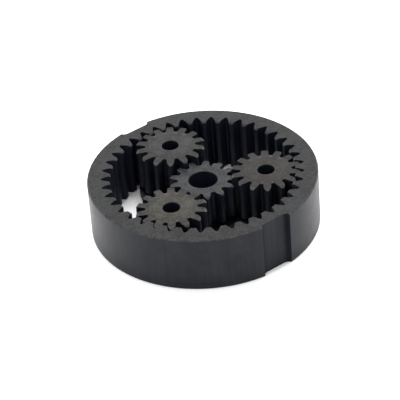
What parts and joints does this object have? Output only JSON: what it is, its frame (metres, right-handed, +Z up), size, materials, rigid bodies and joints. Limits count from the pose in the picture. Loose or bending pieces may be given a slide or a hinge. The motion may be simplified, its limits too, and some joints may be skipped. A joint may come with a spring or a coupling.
{
  "type": "planetary gear set",
  "caption": "Low round planetary gear stage: notched ring gear around a sun gear and planet gears on a pinned carrier.",
  "frame": {"origin": "centre of the set on its bottom face, on the common turning axis", "axes": "+Z up along the turning axis, +X from the centre through the first planet gear's pin"},
  "size_m": [0.0394, 0.0394, 0.0099],
  "materials": {
    "ring_steel": "satin",
    "sun_steel": "satin",
    "planet_steel": "satin",
    "carrier_steel": "satin",
    "pin_steel": "satin"
  },
  "bodies": {
    "ring": {"ring_gear": "ring_steel"},
    "sun": {"sun_gear": "sun_steel"},
    "carrier": {"planet_carrier": "carrier_steel", "planet_pin_1": "pin_steel", "planet_pin_2": "pin_steel", "planet_pin_3": "pin_steel"},
    "planet_1": {"planet_gear_1": "planet_steel"},
    "planet_2": {"planet_gear_2": "planet_steel"},
    "planet_3": {"planet_gear_3": "planet_steel"}
  },
  "joints": [
    {"name": "carrier_turn", "type": "hinge", "parent": "ring", "child": "carrier", "pos_m": [0, 0, 0.0011], "axis": [0, 0, 1], "continuous": true},
    {"name": "sun_turn", "type": "hinge", "parent": "ring", "child": "sun", "pos_m": [0, 0, 0.00545], "axis": [0, 0, 1], "continuous": true},
    {"name": "planet_1_spin", "type": "hinge", "parent": "carrier", "child": "planet_1", "pos_m": [0.0108, 0, 0.006], "axis": [0, 0, 1], "continuous": true},
    {"name": "planet_2_spin", "type": "hinge", "parent": "carrier", "child": "planet_2", "pos_m": [-0.0054, 0.00935, 0.006], "axis": [0, 0, 1], "continuous": true},
    {"name": "planet_3_spin", "type": "hinge", "parent": "carrier", "child": "planet_3", "pos_m": [-0.0054, -0.00935, 0.006], "axis": [0, 0, 1], "continuous": true}
  ],
  "couplings": [
    {"joint": "sun_turn", "follows": "carrier_turn", "ratio": 4.1538},
    {"joint": "planet_1_spin", "follows": "carrier_turn", "ratio": -2.9286},
    {"joint": "planet_2_spin", "follows": "carrier_turn", "ratio": -2.9286},
    {"joint": "planet_3_spin", "follows": "carrier_turn", "ratio": -2.9286}
  ]
}
